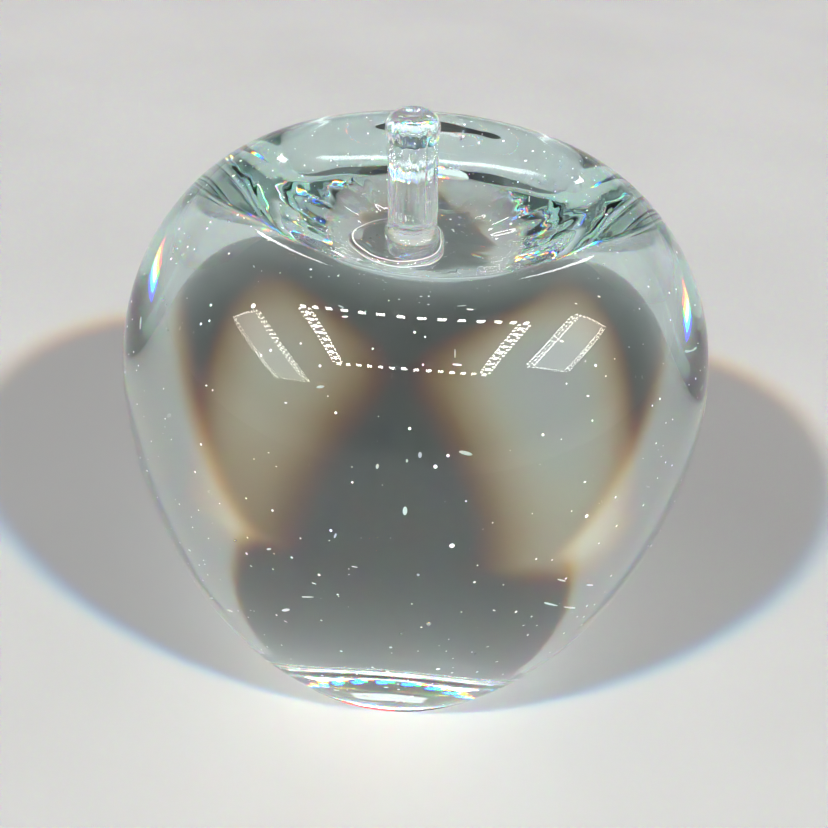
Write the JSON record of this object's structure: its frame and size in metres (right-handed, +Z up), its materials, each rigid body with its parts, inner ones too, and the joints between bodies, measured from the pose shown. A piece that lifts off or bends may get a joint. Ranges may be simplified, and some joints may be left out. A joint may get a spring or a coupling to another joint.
{
  "type": "glass apple paperweight",
  "caption": "Solid clear glass apple with a flat ground foot, a dimpled top and a glass-rod stem bonded into it.",
  "frame": {"origin": "centre of the flat foot, on the surface that the paperweight stands on", "axes": "+Z up along the apple's axis of revolution; the stem leans towards -X; -Y faces the viewer"},
  "size_m": [0.08, 0.08, 0.083],
  "materials": {
    "body_glass": "fire-polished clear glass, ground and polished foot",
    "stem_glass": "drawn clear rod with fine draw lines and a melted head",
    "bond_resin": "clear cured resin with a few small bubbles"
  },
  "bodies": {
    "root": {"apple_body": "body_glass", "stem": "stem_glass", "stem_bond": "bond_resin"}
  },
  "joints": []
}
